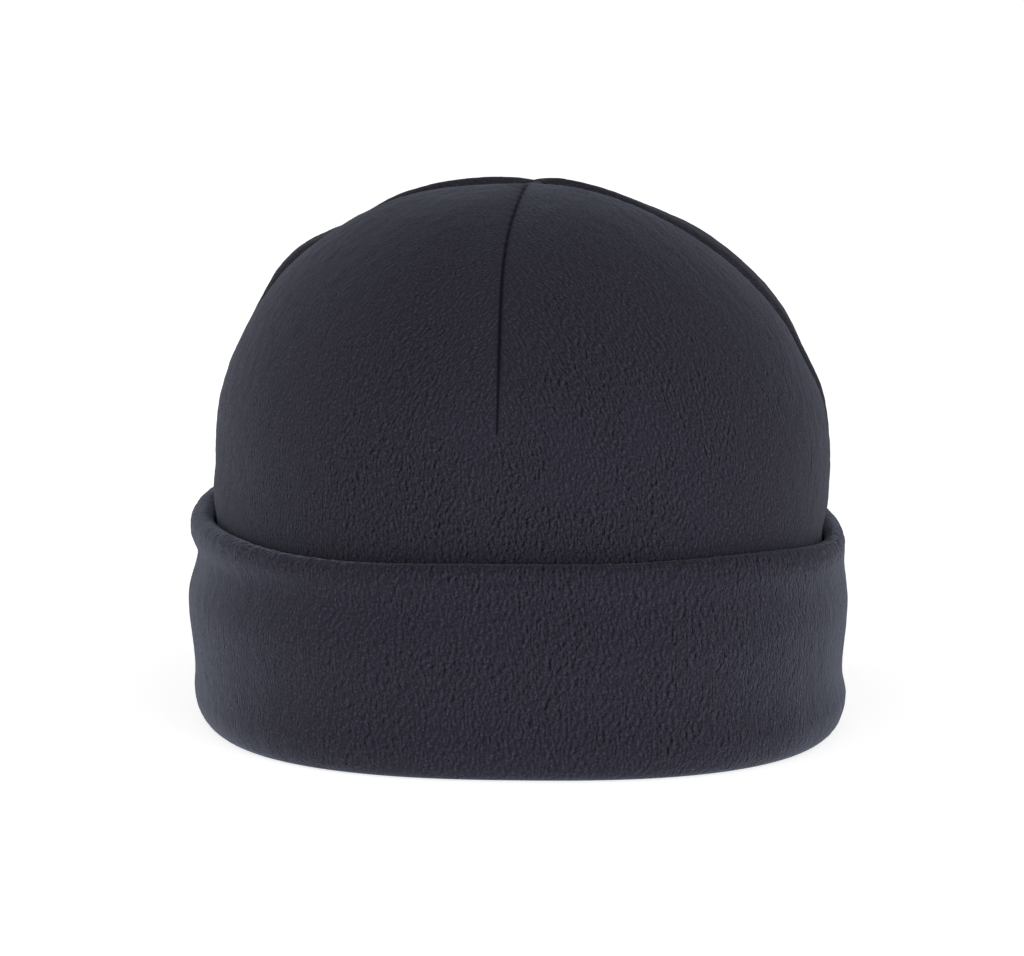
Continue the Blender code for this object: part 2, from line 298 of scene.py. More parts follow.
def knit(rings, start=None, end=None):
    """Faces between rings of points, each as long as the last, half or twice as long. Gives vertex
    numbers, ring numbers and column shares of a turn at each face's corners."""
    counts = [len(ring) for ring in rings]
    first = np.concatenate([[0], np.cumsum(counts)])
    faces = []
    for low, (a, b) in enumerate(zip(counts, counts[1:])):
        i = np.arange(min(a, b))
        if a == b:
            corners = [(low, i, a), (low, i + 1, a), (low + 1, i + 1, b), (low + 1, i, b)]
            faces.append(corners)
        elif a == 2 * b:
            faces.append([(low, 2 * i, a), (low, 2 * i + 1, a), (low + 1, i, b)])
            faces.append([(low, 2 * i + 1, a), (low, 2 * i + 2, a), (low + 1, i + 1, b)])
            faces.append([(low, 2 * i + 1, a), (low + 1, i + 1, b), (low + 1, i, b)])
        else:
            faces.append([(low, i, a), (low + 1, 2 * i + 1, b), (low + 1, 2 * i, b)])
            faces.append([(low, i + 1, a), (low + 1, 2 * i + 2, b), (low + 1, 2 * i + 1, b)])
            faces.append([(low, i, a), (low, i + 1, a), (low + 1, 2 * i + 1, b)])
    total = int(first[-1])
    ends = []
    if start is not None:
        i = np.arange(counts[0])
        ends.append(start)
        faces.append([(-1, i, total), (0, i + 1, counts[0]), (0, i, counts[0])])
    if end is not None:
        i, last = np.arange(counts[-1]), len(counts) - 1
        ends.append(end)
        faces.append([(last, i, counts[-1]), (last, i + 1, counts[-1]), (-2, i, total)])
    vertices, ring_of, share_of, sizes = [], [], [], []
    for corners in faces:
        for_corner = []
        for ring, column, count in corners:
            if ring == -1:
                for_corner.append((np.full_like(column, total), 0 * column, (column + 0.5) / counts[0]))
            elif ring == -2:
                top = np.full_like(column, total + len(ends) - 1)
                for_corner.append((top, 0 * column + len(counts) - 1, (column + 0.5) / counts[-1]))
            else:
                for_corner.append((first[ring] + column % count, 0 * column + ring, column / count))
        vertices.append(np.stack([c[0] for c in for_corner], 1).ravel())
        ring_of.append(np.stack([c[1] for c in for_corner], 1).ravel())
        share_of.append(np.stack([c[2] for c in for_corner], 1).ravel())
        sizes.append(np.full(len(corners[0][1]), len(corners)))
    points = np.concatenate(list(rings) + [np.array([point]) for point in ends])
    return points, *(np.concatenate(found) for found in (vertices, ring_of, share_of, sizes))


def pilling(points, patches):
    """How much wear has balled up the pile at each point, from a table of worn places: azimuth,
    height, breadth in degrees, tallness, amount. On the crown this is partly painted shade."""
    azimuth = np.degrees(np.arctan2(points[:, 1], points[:, 0]))
    amount = 0 * azimuth
    for middle, height, breadth, tallness, most in patches:
        away = (turn_between(azimuth, middle) / breadth) ** 2 + ((points[:, 2] - height) / tallness) ** 2
        amount += most * np.exp(-away)
    return amount


def cloth_object(name, points, vertices, sizes, across, along, seam_distance, patches=()):
    """A mesh object whose map is the cloth as cut, in metres, and which knows how far each point is
    from a sewn line and how pilled it is."""
    mesh = bpy.data.meshes.new(name)
    mesh.vertices.add(len(points))
    mesh.vertices.foreach_set("co", points.astype(np.float32).ravel())
    mesh.loops.add(len(vertices))
    mesh.loops.foreach_set("vertex_index", vertices.astype(np.int32))
    mesh.polygons.add(len(sizes))
    mesh.polygons.foreach_set("loop_start", np.concatenate([[0], np.cumsum(sizes)[:-1]]).astype(np.int32))
    mesh.update(calc_edges=True)
    cloth = mesh.uv_layers.new(name="cloth")
    cloth.uv.foreach_set("vector", np.stack([across, along], 1).astype(np.float32).ravel())
    held = mesh.attributes.new("from_seam", "FLOAT", "POINT")
    held.data.foreach_set("value", seam_distance.astype(np.float32))
    worn = mesh.attributes.new("pilled", "FLOAT", "POINT")
    worn.data.foreach_set("value", pilling(points, patches).astype(np.float32))
    mesh.shade_smooth()
    piece = bpy.data.objects.new(name, mesh)
    bpy.context.scene.collection.objects.link(piece)
    return piece


def colour(code):
    """An sRGB hex colour as linear RGBA."""
    levels = [int(code[i:i + 2], 16) / 255 for i in (1, 3, 5)]
    return (*(v / 12.92 if v <= 0.04045 else ((v + 0.055) / 1.055) ** 2.4 for v in levels), 1)


def add(tree, kind, inputs, **settings):
    """Adds a node. An input is given a value, or another node's output to link."""
    made = tree.nodes.new(kind)
    for name, value in settings.items():
        setattr(made, name, value)
    for socket, value in inputs.items():
        if isinstance(value, bpy.types.NodeSocket):
            tree.links.new(value, made.inputs[socket])
        else:
            made.inputs[socket].default_value = value
    return made


def brushed_fleece(name, pit_shade, pile, tip_and_highlight, clump, density, relief_depth, sheen):
    """Brushed, lightly pilled polyester fleece: soft clumps of fibre with small pits between them, coloured
    with painted shade in the pits, on one flank of each clump and along each sewn line's crease, and a
    painted highlight on the other flank. It is matt, and the loose fibre ends catch the light wherever the
    cloth turns away."""
    material = bpy.data.materials.new(name)
    material.use_nodes = True
    tree = material.node_tree
    shader = tree.nodes["Principled BSDF"]
    cloth = add(tree, "ShaderNodeUVMap", {}, uv_map="cloth").outputs[0]
    seam = add(tree, "ShaderNodeAttribute", {}, attribute_name="from_seam").outputs["Fac"]
    pilled = add(tree, "ShaderNodeAttribute", {}, attribute_name="pilled").outputs["Fac"]

    drift = add(tree, "ShaderNodeTexNoise", {"Vector": cloth, "Scale": 1 / (7 * MM), "Detail": 1.0})
    bend = add(tree, "ShaderNodeVectorMath", {0: drift.outputs["Color"], 1: (0.5, 0.5, 0.5)},
               operation="SUBTRACT")
    sway = add(tree, "ShaderNodeVectorMath", {0: bend.outputs[0], "Scale": 2.2 * MM}, operation="SCALE")
    grain = add(tree, "ShaderNodeVectorMath", {0: cloth, 1: sway.outputs[0]})
    stretch = add(tree, "ShaderNodeVectorMath", {0: grain.outputs[0], 1: (1 / clump[0], 1 / clump[1], 1)},
                  operation="MULTIPLY")
    clumped = {"Scale": 0.8, "Detail": 3.0, "Roughness": 0.58}
    folds = add(tree, "ShaderNodeTexNoise", {"Vector": stretch.outputs[0], **clumped})
    breaks = add(tree, "ShaderNodeTexNoise",
                 {"Vector": grain.outputs[0], "Scale": 1 / (2.0 * MM), "Detail": 1.0})
    fibres = add(tree, "ShaderNodeTexNoise",
                 {"Vector": cloth, "Scale": 1 / (0.7 * MM), "Detail": 2.0, "Roughness": 0.7})
    areas = add(tree, "ShaderNodeTexNoise", {"Vector": cloth, "Scale": 1 / (24 * MM), "Detail": 2.0})

    # The pile lies flatter beside a seam, and varies from place to place.
    beside = add(tree, "ShaderNodeMapRange",
                 {"Value": seam, "From Min": 1.0 * MM, "From Max": 6 * MM, "To Min": 0.3},
                 interpolation_type="SMOOTHSTEP")
    place = add(tree, "ShaderNodeMapRange",
                {"Value": areas.outputs["Fac"], "From Min": 0.42, "From Max": 0.62, "To Min": density[0],
                 "To Max": density[1]})
    worn = add(tree, "ShaderNodeMath", {0: place.outputs[0], 1: pilled})
    textured = add(tree, "ShaderNodeMath", {0: beside.outputs[0], 1: worn.outputs[0]}, operation="MULTIPLY")
    # Painted shade and painted highlight: the pile pattern less a copy of it shifted aside
    # gives each clump a dark flank and a light one, as if lit from one side.
    aside = add(tree, "ShaderNodeVectorMath", {0: stretch.outputs[0], 1: (0.62, -0.16, 0)})
    flank = add(tree, "ShaderNodeTexNoise", {"Vector": aside.outputs[0], **clumped})
    emboss_light_shade = add(tree, "ShaderNodeMath", {0: folds.outputs["Fac"], 1: flank.outputs["Fac"]},
               operation="SUBTRACT")
    painted_shade_flank = add(tree, "ShaderNodeMapRange",
                 {"Value": emboss_light_shade.outputs[0], "From Min": -0.03, "From Max": -0.17},
                 interpolation_type="SMOOTHSTEP")
    short = add(tree, "ShaderNodeMapRange",
                {"Value": breaks.outputs["Fac"], "From Min": 0.40, "From Max": 0.60, "To Min": 0.3},
                interpolation_type="SMOOTHSTEP")
    pits = add(tree, "ShaderNodeMath", {0: painted_shade_flank.outputs[0], 1: short.outputs[0]}, operation="MULTIPLY")
    pitted = add(tree, "ShaderNodeMath", {0: pits.outputs[0], 1: textured.outputs[0]}, operation="MULTIPLY")
    painted_highlight_flank = add(tree, "ShaderNodeMapRange",
                 {"Value": emboss_light_shade.outputs[0], "From Min": -0.04, "From Max": 0.14, "To Min": 0.3})
    lint = add(tree, "ShaderNodeMapRange",
               {"Value": fibres.outputs["Fac"], "From Min": 0.36, "From Max": 0.66})
    highlight_and_lint = add(tree, "ShaderNodeMath", {0: painted_highlight_flank.outputs[0], 1: lint.outputs[0]}, operation="MULTIPLY")
    # Painted shade: the colour darkens to near black within a millimetre of a sewn line or join, along its
    # crease.
    crease = add(tree, "ShaderNodeMapRange",
                 {"Value": seam, "From Min": 0.15 * MM, "From Max": 0.95 * MM, "To Min": 1.0, "To Max": 0.0},
                 interpolation_type="SMOOTHSTEP")

    # Painted highlight on each clump's lit flank, broken up by the fibres, then painted shade in its pits
    # and on its dark flank.
    lit = add(tree, "ShaderNodeMix", {"Factor": highlight_and_lint.outputs[0], 6: colour(pile), 7: colour(tip_and_highlight)},
              data_type="RGBA")
    open_pile = add(tree, "ShaderNodeMix", {"Factor": pitted.outputs[0], 6: lit.outputs[2], 7: colour(pit_shade)},
                    data_type="RGBA")
    tone = add(tree, "ShaderNodeMix",
               {"Factor": crease.outputs[0], 6: open_pile.outputs[2], 7: colour("#05040b")},
               data_type="RGBA")
    tree.links.new(tone.outputs[2], shader.inputs["Base Color"])

    # The pits sink into the pile, and its clumps and fibres stand up from it.
    sunk = add(tree, "ShaderNodeMath", {0: pitted.outputs[0], 1: -0.5}, operation="MULTIPLY")
    fuzz = add(tree, "ShaderNodeMath", {0: fibres.outputs["Fac"], 1: 0.55}, operation="MULTIPLY")
    body = add(tree, "ShaderNodeMath", {0: folds.outputs["Fac"], 1: textured.outputs[0]},
               operation="MULTIPLY")
    rounded = add(tree, "ShaderNodeMath", {0: body.outputs[0], 1: 1.3}, operation="MULTIPLY")
    formed = add(tree, "ShaderNodeMath", {0: sunk.outputs[0], 1: rounded.outputs[0]})
    relief = add(tree, "ShaderNodeMath", {0: formed.outputs[0], 1: fuzz.outputs[0]})
    bump = add(tree, "ShaderNodeBump", {"Height": relief.outputs[0], "Distance": relief_depth})
    tree.links.new(bump.outputs[0], shader.inputs["Normal"])

    shader.inputs["Roughness"].default_value = 0.95
    shader.inputs["Specular IOR Level"].default_value = 0.15
    shader.inputs["Sheen Weight"].default_value = sheen
    shader.inputs["Sheen Roughness"].default_value = 0.42
    shader.inputs["Sheen Tint"].default_value = colour("#b2bccf")
    return material


COLUMNS = 704  # of the crown's mesh, round the wall
CUFF_COVERS = 52 * MM  # height up to which the cuff covers the crown


def crown_columns(count):
    """Azimuths of a ring of columns from the back seam, a quarter of them to each gore, closest
    together beside the sewn lines."""
    share = np.arange(count) / count * 4
    gore = np.floor(share).astype(int)
    from_edge = np.minimum(share - gore, 1 - (share - gore))
    graded = (0.40 * 2 * from_edge + 0.60 * (2 * from_edge) ** 1.4) / 2
    left, right = GORE_EDGES[gore], GORE_EDGES[gore + 1]
    return np.where(share - gore < 0.5, left + (right - left) * graded, right - (right - left) * graded)


def column_azimuth(share):
    """The azimuth at a share of the whole turn, up to and past 1."""
    known = np.arange(COLUMNS + 1) / COLUMNS
    return np.interp(share, known, np.concatenate([crown_columns(COLUMNS), [BACK + 360]]))


# Worn places just above the cuff's top edge, whose extra pits are partly pilling and partly painted shade
# under that edge: azimuth, height, breadth in degrees, tallness, amount.
CROWN_PILLED_AND_SHADED = ((-128, 72 * MM, 26, 16 * MM, 1.10), (-85, 64 * MM, 30, 12 * MM, 0.60))


def dome_row(turn):
    """Height and spread of a row, a turn up from where the wall starts to close."""
    return SPRING_HEIGHT + DOME_RISE * np.sin(turn), np.cos(turn)


def make_crown():
    """The outer face from the hem up and the inner face down again, as one closed shell."""
    hem = JOIN_HEIGHT + PIECE_GAP
    # Rows of the outer face: few where the cuff covers it, then about 1 mm apart.
    rows = [(height, 1.0) for height in np.linspace(hem, CUFF_COVERS, 7)[:-1]]
    rows += [(height, 1.0) for height in np.linspace(CUFF_COVERS, SPRING_HEIGHT, 23)[:-1]]
    last = np.arccos(TOP_RING / (CROWN_WIDTH / 2))
    rows += [dome_row(turn) for turn in np.linspace(0, last, 118)]
    inner_rows = [(height, 1.0) for height in np.linspace(hem, SPRING_HEIGHT, 16)[:-1]]
    inner_rows += [dome_row(turn) for turn in np.linspace(0, last, 34)]

    rings, distances, places = [], [], []
    shell_rows = [("inner", row) for row in inner_rows[::-1]] + [("outer", row) for row in rows]
    for side, (height, spread) in shell_rows:
        # Fewer columns as the rows close, and on the inner face away from the hem.
        count = COLUMNS
        if spread < 0.5:
            count = COLUMNS // 2
        if spread < 0.25:
            count = COLUMNS // 4
        if spread < 0.12:
            count = COLUMNS // 8
        if side == "inner":
            count = min(count, COLUMNS // 4)
            if height < hem + 8 * MM:
                count = COLUMNS // 2
            if height < hem + 1 * MM:
                count = COLUMNS
        azimuth = crown_columns(count)
        here = np.full(count, height), np.full(count, spread)
        if side == "outer":
            gore = np.arange(count) * 4 // count
            across = cloth_across(azimuth, *here, gore)
            fine, nearest = crown_fine_relief(azimuth, *here, across, cloth_height(here[0]))
            point = crown_surface(azimuth, *here, fine=fine)[0]
        else:
            # The inner face follows the outer one a cloth's thickness behind it.
            step = 0.4
            point = crown_surface(azimuth, *here)[0]
            round_it = crown_surface(azimuth + step, *here)[0] - crown_surface(azimuth - step, *here)[0]
            dome_turn = np.arccos(np.clip(spread, 0, 1))
            above, below = dome_turn + 0.01, max(dome_turn - 0.01, 0)
            if spread < 1:
                up_it = [
                    crown_surface(azimuth, *(np.full(count, value) for value in dome_row(turn)))[0]
                    for turn in (below, above)
                ]
            else:
                up_it = [crown_surface(azimuth, here[0] + rise, here[1])[0] for rise in (-0.5 * MM, 0)]
            facing = np.cross(round_it, up_it[1] - up_it[0])
            facing /= np.linalg.norm(facing, axis=1)[:, None]
            point = point - facing * FLEECE
            nearest = np.full(count, FAR)
        rings.append(point)
        distances.append(nearest)
        places.append((height, spread))
    peak = np.array([APEX_SHIFT, 0, CROWN_HEIGHT])
    points, vertices, ring_of, share_of, sizes = knit(rings, peak - (0, 0, FLEECE), peak)
    height, spread = np.array(places)[ring_of].T
    face_of = np.repeat(np.arange(len(sizes)), sizes)
    middle = np.bincount(face_of, share_of) / sizes
    gore = np.clip(np.floor(middle * 4), 0, 3).astype(int)
    across = cloth_across(column_azimuth(share_of), height, spread, gore[face_of])
    # The distance to the nearest sewn line also sets the painted shade along its crease, and at the top
    # point.
    distance = np.concatenate(distances + [np.array([FAR, 0.0])])
    piece = cloth_object("crown_shell", points, vertices, sizes, across, cloth_height(height), distance,
                         CROWN_PILLED_AND_SHADED)
    # The first gore and the last lie behind the side darts.
    behind = (gore == 0) | (gore == 3)
    piece.data.polygons.foreach_set("material_index", behind.astype(np.int32))
    return piece


crown = make_crown()
CROWN_PILE = {"clump": (0.72 * MM, 1.35 * MM), "density": (0.46, 1.15), "relief_depth": 0.22 * MM}
crown.data.materials.append(brushed_fleece(
    "brushed fleece, crown", pit_shade="#060509", pile="#1a1821", tip_and_highlight="#36343f", sheen=0.16, **CROWN_PILE))
# The two back gores take a copy of the crown's fleece with less sheen and a little less blue: painted
# shade, so that their edges behind the side darts look darker from the front.
crown.data.materials.append(brushed_fleece(
    "brushed fleece, back gores, painted shade", pit_shade="#060508", pile="#1a1920", tip_and_highlight="#35343c", sheen=0.06, **CROWN_PILE))
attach(crown, "root")
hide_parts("crown")

# Seam allowances. Inside the hat each sewn line leaves the two raw edges of the cloth standing, trimmed
# together and overlocked with textured polyester thread. The darts' edges taper to nothing at the tips.

ALLOWANCE_DEPTH = 5.5 * MM
ALLOWANCE_WIDTH = 4.6 * MM  # two layers, pressed by the stitching
ALLOWANCE_END = 5 * MM  # distance from the top at which each stops
ALLOWANCE_TIP = 0.35  # share of its depth where it starts
ALLOWANCE_GIRTH = 16 * MM  # of its cloth, measured round it
# The two layers cut across: shares of the half width and of the depth.
ALLOWANCE_OUTLINE = (
    (-1, 0), (-1.0, 0.55), (-0.93, 0.80), (-0.72, 0.95), (-0.40, 0.97), (-0.12, 0.86), (0, 0.76),
    (0.12, 0.86), (0.40, 0.97), (0.72, 0.95), (0.93, 0.80), (1.0, 0.55), (1, 0),
)
THREAD = 0.22 * MM  # radius of the overlock thread
THREAD_GIRTH = 1.4 * MM
LOOP_SPACING = 2.3 * MM
LOOP_RINGS = 17  # rings of its mesh to a loop
LOOP_STEP = 0.8 * MM  # length of thread between two of them
LOOP_OUTLINE = (
    (-1.08, 0.18), (-1.12, 0.60), (-0.85, 1.00), (-0.3, 1.08),
    (0.3, 1.08), (0.85, 1.00), (1.12, 0.60), (1.08, 0.18),
)


def along_seam(azimuth, start):
    """Points on the crown's outer face along a sewn line, half a millimetre apart, each with its own
    directions along the line, across it and into the hat."""
    first = max(start * CROWN_HEIGHT, JOIN_HEIGHT + PIECE_GAP)
    wall = np.arange(first, SPRING_HEIGHT, 0.5 * MM)
    lowest = np.arcsin(max(first - SPRING_HEIGHT, 0) / DOME_RISE)
    turn = np.arange(lowest, np.arccos(2 * ALLOWANCE_END / CROWN_DEPTH), 0.006)
    height = np.concatenate([wall, SPRING_HEIGHT + DOME_RISE * np.sin(turn)])
    spread = np.concatenate([1 + 0 * wall, np.cos(turn)])
    point, outward = crown_surface(azimuth + 0 * height, height, spread)
    along = np.gradient(point, axis=0)
    along /= np.linalg.norm(along, axis=1)[:, None]
    across = np.cross(along, outward)
    across /= np.linalg.norm(across, axis=1)[:, None]
    inward = np.cross(along, across)
    return point - outward * (FLEECE + PIECE_GAP), along, across, inward


def tube(path, radius, sides=6):
    """Rings of points round a path."""
    along = np.gradient(path, axis=0)
    along /= np.linalg.norm(along, axis=1)[:, None]
    # Any direction does here that the path never runs in.
    aside = np.cross(along, (0.31, 0.42, 0.85))
    aside /= np.linalg.norm(aside, axis=1)[:, None]
    other = np.cross(along, aside)
    turn = 2 * np.pi * np.arange(sides)[:, None] / sides
    return path[:, None] + radius * (aside[:, None] * np.cos(turn) + other[:, None] * np.sin(turn))


def make_allowance(name, azimuth, start):
    """The two cloth edges as one strip, and the thread loops over them, whose faces take the second
    material."""
    seat, along, across, inward = along_seam(azimuth, start)
    length = np.concatenate([[0], np.cumsum(np.linalg.norm(np.diff(seat, axis=0), axis=1))])
    grown = np.minimum(ALLOWANCE_TIP + length / SEAM_RUN_OUT, 1)
    if start == 0:
        grown = 0 * length + 1
    edge_wave = 1 + 0.05 * clumps(length / (7 * MM), 0 * length, 7)

    def place(side, deep):
        return (seat + across * (side * ALLOWANCE_WIDTH / 2)[:, None]
                + inward * (deep * ALLOWANCE_DEPTH * grown * edge_wave)[:, None])

    lines = [place(side + 0 * length, deep + 0 * length) for side, deep in ALLOWANCE_OUTLINE]
    strip = np.stack(lines, 1)[::2]
    ends = [strip[row].mean(axis=0) for row in (0, -1)]
    points, vertices, ring_of, share_of, sizes = knit(list(strip), *ends)
    parts = [(points, vertices, sizes, share_of * ALLOWANCE_GIRTH, length[::2][ring_of], 0)]
    for middle in np.arange(LOOP_SPACING, length[-1] - LOOP_SPACING, LOOP_SPACING):
        share = np.linspace(0, 1, LOOP_RINGS)
        corner = share * (len(LOOP_OUTLINE) - 1)
        side = np.interp(corner, range(len(LOOP_OUTLINE)), [c[0] for c in LOOP_OUTLINE])
        deep = np.interp(corner, range(len(LOOP_OUTLINE)), [c[1] for c in LOOP_OUTLINE])
        at = np.interp(middle + (share - 0.5) * 0.9 * LOOP_SPACING, length, np.arange(len(length)))
        row = np.round(at).astype(int)
        path = (seat[row] + across[row] * (side * ALLOWANCE_WIDTH / 2)[:, None]
                + inward[row] * (deep * (ALLOWANCE_DEPTH * grown * edge_wave)[row])[:, None])
        points, vertices, ring_of, share_of, sizes = knit(list(tube(path, THREAD)), path[0], path[-1])
        parts.append((points, vertices, sizes, share_of * THREAD_GIRTH, ring_of * LOOP_STEP, 1))
    first = np.concatenate([[0], np.cumsum([len(part[0]) for part in parts])])
    points = np.concatenate([part[0] for part in parts])
    vertices = np.concatenate([part[1] + offset for part, offset in zip(parts, first)])
    sizes, across_cloth, along_cloth = (np.concatenate([part[i] for part in parts]) for i in (2, 3, 4))
    away = np.full(len(points), FAR)
    piece = cloth_object(name, points, vertices, sizes, across_cloth, along_cloth, away)
    kinds = np.concatenate([np.full(len(part[2]), part[5]) for part in parts])
    piece.data.polygons.foreach_set("material_index", kinds.astype(np.int32))
    return piece


def textured_thread(name, dark, light):
    """Textured polyester overlock thread: two plies twisted together, matt and a little fuzzy, so that
    it reads as a fine slanting stripe."""
    material = bpy.data.materials.new(name)
    material.use_nodes = True
    tree = material.node_tree
    shader = tree.nodes["Principled BSDF"]
    cloth = add(tree, "ShaderNodeUVMap", {}, uv_map="cloth").outputs[0]
    slant = add(tree, "ShaderNodeMapping", {"Vector": cloth, "Rotation": (0, 0, np.radians(35))})
    plies = add(tree, "ShaderNodeTexWave",
                {"Vector": slant.outputs[0], "Scale": 0.3 / (0.7 * MM), "Distortion": 1.5})
    tone = add(tree, "ShaderNodeMix", {"Factor": plies.outputs["Fac"], 6: colour(dark), 7: colour(light)},
               data_type="RGBA")
    tree.links.new(tone.outputs[2], shader.inputs["Base Color"])
    bump = add(tree, "ShaderNodeBump",
               {"Height": plies.outputs["Fac"], "Distance": 0.08 * MM, "Strength": 0.8})
    tree.links.new(bump.outputs[0], shader.inputs["Normal"])
    shader.inputs["Roughness"].default_value = 0.7
    shader.inputs["Sheen Weight"].default_value = 0.15
    return material


# The same fleece where it was cut: its pile is crushed by the stitching, so it has fewer pits.
inside_fleece = brushed_fleece(
    "brushed fleece, cut edges", pit_shade="#08070c", pile="#201f28", tip_and_highlight="#33323d",
    clump=(1.0 * MM, 1.5 * MM), density=(0.3, 0.6), relief_depth=0.26 * MM, sheen=0.30)
overlock_thread = textured_thread("textured polyester thread", "#1b1a22", "#3a3945")
for seam_name, (seam_azimuth, seam_start) in SEAMS.items():
    allowance = make_allowance(seam_name + "_edges", seam_azimuth, seam_start)
    allowance.data.materials.append(inside_fleece)
    allowance.data.materials.append(overlock_thread)
    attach(allowance, "root")
    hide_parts(seam_name + "_allowance")

# Cuff. A band of the same fleece, doubled along its top fold, sewn to the crown's lower edge inside
# the hat and turned up round the outside. Its ends are joined behind, in line with the back seam. The
# pile has been pressed into coarser pebbles than on the crown.

LAYER_AIR = 0.4 * MM
BAND = 2 * FLEECE + LAYER_AIR
CUFF_HEIGHT = 60 * MM
CUFF_TILT = 2.0 * MM  # the left side stands higher
CUFF_SIDE_DROP = 1.5 * MM  # of its top edge, at both sides
CUFF_AIR = 0.8 * MM  # between the cuff and the crown
LIP_PROUD = 0.6 * MM  # how far the cuff's inner lip stands into the hat past the crown's cloth
LIP_SWELL = 1.5 * MM
OUTER_FOLD_WIDTH = 5.6 * MM  # the lower fold's rounding on the outside, an upright ellipse
OUTER_FOLD_HEIGHT = 9.5 * MM
INNER_FOLD = 3.0 * MM  # and its radius on the inside
# Swellings of the cuff's outer face: share of its height, then cloth thicknesses left and right.
CUFF_SWELLS = (
    (0.08, 0.10, 0.15), (0.28, -0.20, -0.60), (0.60, 0.50, -0.10), (0.82, -0.60, -0.60), (0.93, 0.25, -0.60),
)
PEBBLE_WIDTH, PEBBLE_HEIGHT = 1.8 * MM, 2.9 * MM
PEBBLE_RELIEF = 0.08 * MM
SHOWN_ROWS = (10, 101)  # rows of the section between which the cloth shows
FOLD_ROWS = (80, 102)  # rows that lie on the top fold
FOLD_FUZZ = 0.12 * MM
FOLD_MIDDLE = -72  # azimuth of the middle of the stretch of that fold given painted shade
FOLD_SHADE_SPAN = 54  # degrees each side of it
FOLD_BORDER = 3  # rows by which its border is ragged
FOLD_BORDER_TURN = 7  # and degrees to each of those rows at its two ends
CUFF_COLUMNS = 896
CUFF_EASE = 1.07  # the cuff's cloth is longer than the crown's, since it goes round it
# Soft hollows in the cuff's outer face: azimuth, height, breadth in degrees, tallness, depth.
CUFF_DENTS = ((207, 6 * MM, 20, 9 * MM, 1.2 * MM),)
# Places where its top edge waves: azimuth, breadth in degrees, rise.
CUFF_WAVES = ((-122, 20, -0.036 * CUFF_HEIGHT), (-52, 20, 0.032 * CUFF_HEIGHT))


def cuff_face(azimuth, height):
    """How far the cuff's outer face stands out from the crown's plain wall."""
    out = CUFF_AIR + BAND + swelling(CUFF_SWELLS, height / CUFF_HEIGHT, azimuth)
    for dent_azimuth, place, breadth, tallness, depth in CUFF_DENTS:
        round_it = turn_between(azimuth, dent_azimuth) / breadth
        out = out - depth * np.exp(-(round_it**2) - ((height - place) / tallness) ** 2)
    return out


def cuff_inside(azimuth, height):
    """How far the turned-up band's inner face stands out. It lies against the crown's own wall."""
    return crown_relief(azimuth, height, 1 + 0 * azimuth) + CUFF_AIR


def cuff_section(azimuth):
    """The band cut across: rows of (out from the crown's plain wall, height)."""
    side = np.cos(np.radians(azimuth))
    top_fold = BAND / 2
    top = CUFF_HEIGHT - CUFF_TILT * side - CUFF_SIDE_DROP * side**4 - top_fold
    for wave_azimuth, breadth, rise in CUFF_WAVES:
        top = top + rise * np.exp(-((turn_between(azimuth, wave_azimuth) / breadth) ** 2))
    fold_out = (cuff_face(azimuth, top) + cuff_inside(azimuth, top)) / 2
    fold_width = (cuff_face(azimuth, top) - cuff_inside(azimuth, top)) / 2
    lip = -FLEECE - LIP_PROUD + 0 * azimuth
    outer_centre = cuff_face(azimuth, OUTER_FOLD_HEIGHT + 0 * azimuth) - OUTER_FOLD_WIDTH
    rows = []
    for turn in np.linspace(np.pi, 1.5 * np.pi, 8):
        height = INNER_FOLD * (1 + np.sin(turn)) + 0 * azimuth
        rows.append((lip - LIP_SWELL + INNER_FOLD * (1 + np.cos(turn)), height))
    for turn in np.linspace(1.5 * np.pi, 2 * np.pi, 15):
        height = OUTER_FOLD_HEIGHT * (1 + np.sin(turn)) + 0 * azimuth
        rows.append((outer_centre + OUTER_FOLD_WIDTH * np.cos(turn), height))
    for share in np.linspace(0, 1, 66)[1:]:
        height = OUTER_FOLD_HEIGHT + (top - OUTER_FOLD_HEIGHT) * share
        rows.append((cuff_face(azimuth, height), height))
    for turn in np.linspace(0, np.pi, 13)[1:]:
        rows.append((fold_out + fold_width * np.cos(turn), top + top_fold * np.sin(turn)))
    for share in np.linspace(1, 0, 8)[1:]:
        height = JOIN_HEIGHT + (top - JOIN_HEIGHT) * share
        rows.append((cuff_inside(azimuth, height), height))
    for share in (0.5, 1.0):
        start = cuff_inside(azimuth, JOIN_HEIGHT + 0 * azimuth)
        rows.append((start + (lip - start) * share, JOIN_HEIGHT + 0 * azimuth))
    for share in (0.33, 0.67):
        height = JOIN_HEIGHT + (INNER_FOLD - JOIN_HEIGHT) * share + 0 * azimuth
        rows.append((lip - LIP_SWELL * ease(share), height))
    return rows


# Worn places, as on the crown.
CUFF_PILLED = ((-58, 33 * MM, 20, 24 * MM, 1.0),)


